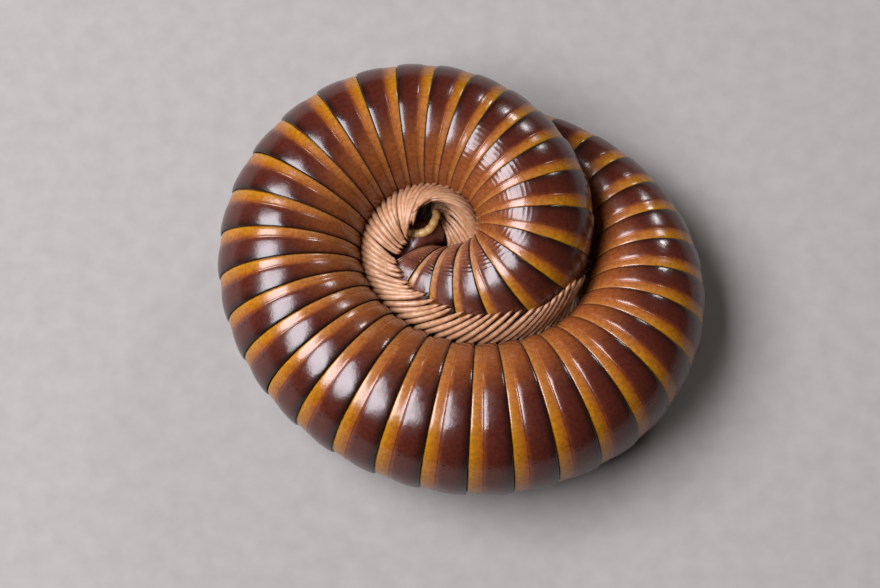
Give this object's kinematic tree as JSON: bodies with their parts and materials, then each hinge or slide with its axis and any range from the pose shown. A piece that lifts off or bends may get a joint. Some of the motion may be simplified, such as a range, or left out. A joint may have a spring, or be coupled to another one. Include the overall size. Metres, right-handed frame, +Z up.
{
  "type": "coiled giant millipede",
  "caption": "Life-size giant millipede lying on its left side, coiled round its head, with ringed trunk, folded legs, feelers and tapering tail.",
  "frame": {"origin": "centre of the coil's box, on the floor it lies on", "axes": "+Z up, through the animal's upturned right side; +X to the right of the picture; +Y away from the camera"},
  "size_m": [0.0489, 0.0436, 0.0164],
  "materials": {
    "shell": "glossy dark maroon rings with orange collars",
    "head": "glossy dark maroon",
    "feeler": "satin tan"
  },
  "bodies": {
    "root": {"collum": "shell", "feeler_left": "feeler", "feeler_right": "feeler", "head": "head", "telson": "shell", "trunk_01": "shell", "trunk_02": "shell", "trunk_03": "shell", "trunk_04": "shell", "trunk_05": "shell", "trunk_06": "shell"}
  },
  "joints": []
}
